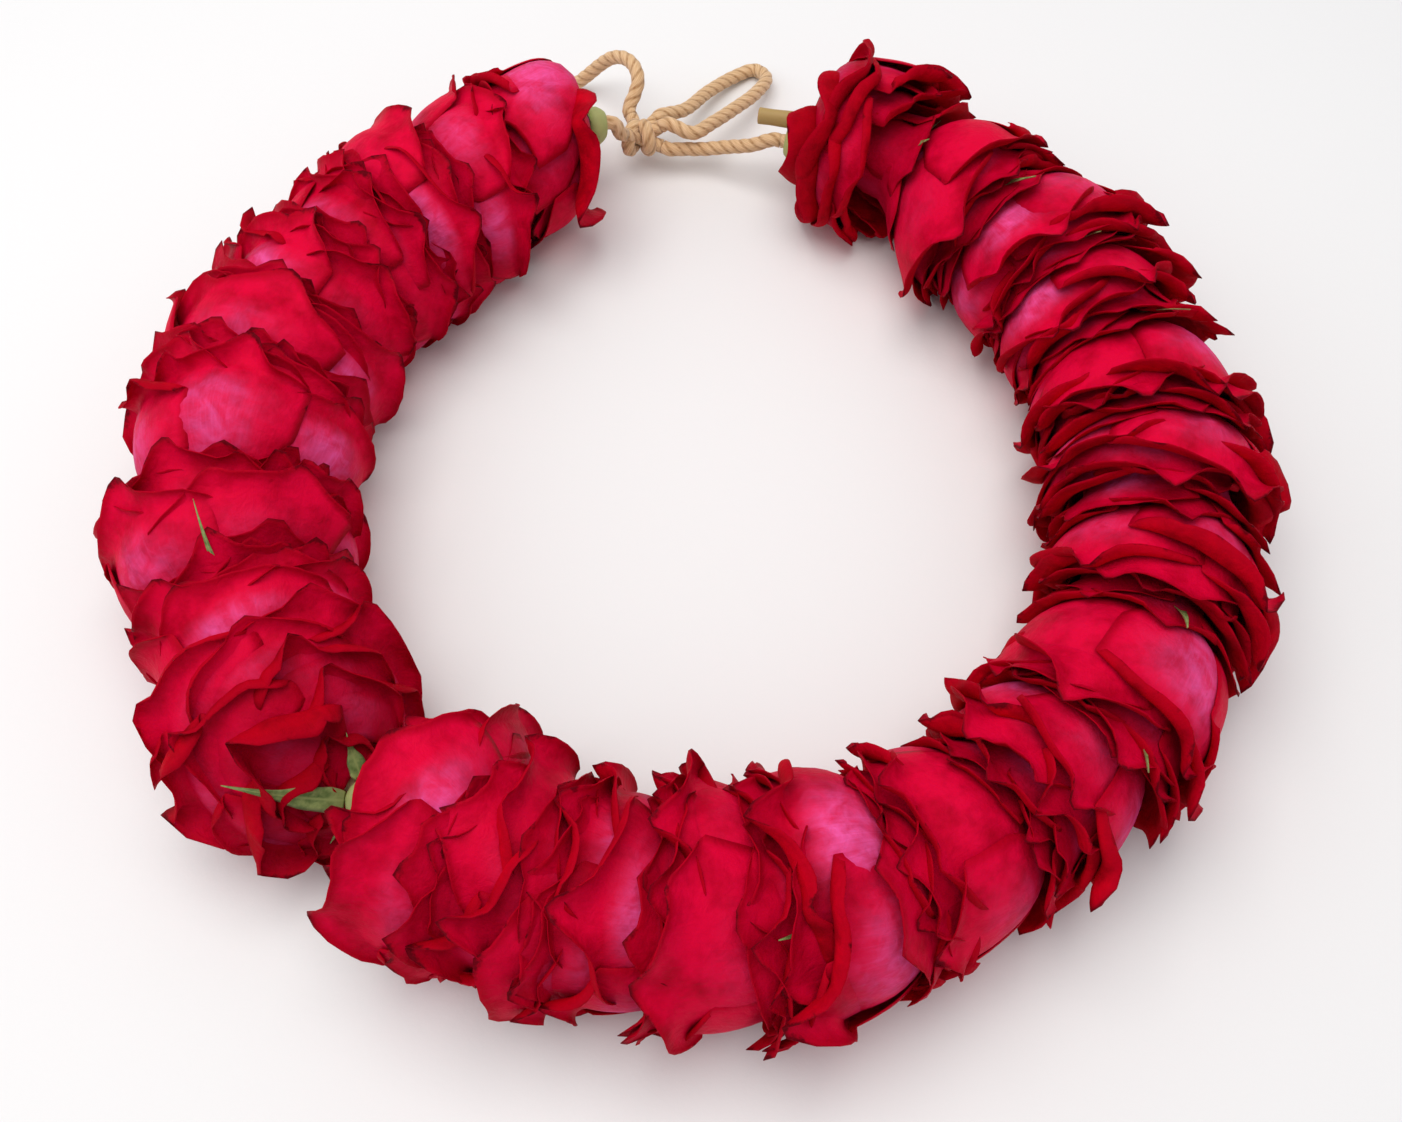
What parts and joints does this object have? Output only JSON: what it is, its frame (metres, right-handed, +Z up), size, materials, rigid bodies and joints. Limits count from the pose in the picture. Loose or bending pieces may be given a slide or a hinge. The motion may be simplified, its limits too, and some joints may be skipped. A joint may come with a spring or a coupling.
{
  "type": "rose lei",
  "caption": "Ring lei of fresh full-blown crimson garden roses threaded nose to tail on a jute string, whose ends are tied in a slipped bow across the gap",
  "frame": {"origin": "bottom centre of the box round the flowers and the string in them, without the tie, on the table that the lei lies on", "axes": "+Z up from the table, +Y from the middle of the ring to the gap with the tie, +X to the right as seen from the front"},
  "size_m": [0.3692, 0.4017, 0.0728],
  "materials": {
    "petals": "velvety fresh rose petals, crimson with a pinker back",
    "calyx": "matt green hips and sepals",
    "jute": "matt twisted natural jute"
  },
  "bodies": {
    "root": {"rose_01": "petals", "rose_02": "petals", "rose_03": "petals", "rose_04": "petals", "rose_05": "petals", "rose_06": "petals", "rose_07": "petals", "rose_08": "petals", "rose_09": "petals", "rose_10": "petals", "rose_11": "petals", "rose_12": "petals", "rose_13": "petals", "rose_14": "petals", "rose_15": "petals", "rose_16": "petals", "rose_17": "petals", "rose_18": "petals", "rose_19": "petals", "rose_20": "petals", "rose_21": "petals", "rose_22": "petals", "rose_23": "petals", "rose_24": "petals", "rose_25": "petals", "calyx_01": "calyx", "calyx_02": "calyx", "calyx_03": "calyx", "calyx_04": "calyx", "calyx_05": "calyx", "calyx_06": "calyx", "calyx_07": "calyx", "calyx_08": "calyx", "calyx_09": "calyx", "calyx_10": "calyx", "calyx_11": "calyx", "calyx_12": "calyx", "calyx_13": "calyx", "calyx_14": "calyx", "calyx_15": "calyx", "calyx_16": "calyx", "calyx_17": "calyx", "calyx_18": "calyx", "calyx_19": "calyx", "calyx_20": "calyx", "calyx_21": "calyx", "calyx_22": "calyx", "calyx_23": "calyx", "calyx_24": "calyx", "calyx_25": "calyx", "string": "jute", "tie_line": "jute", "tie_loop": "jute", "tie_end": "jute", "tie_knot": "jute"}
  },
  "joints": []
}
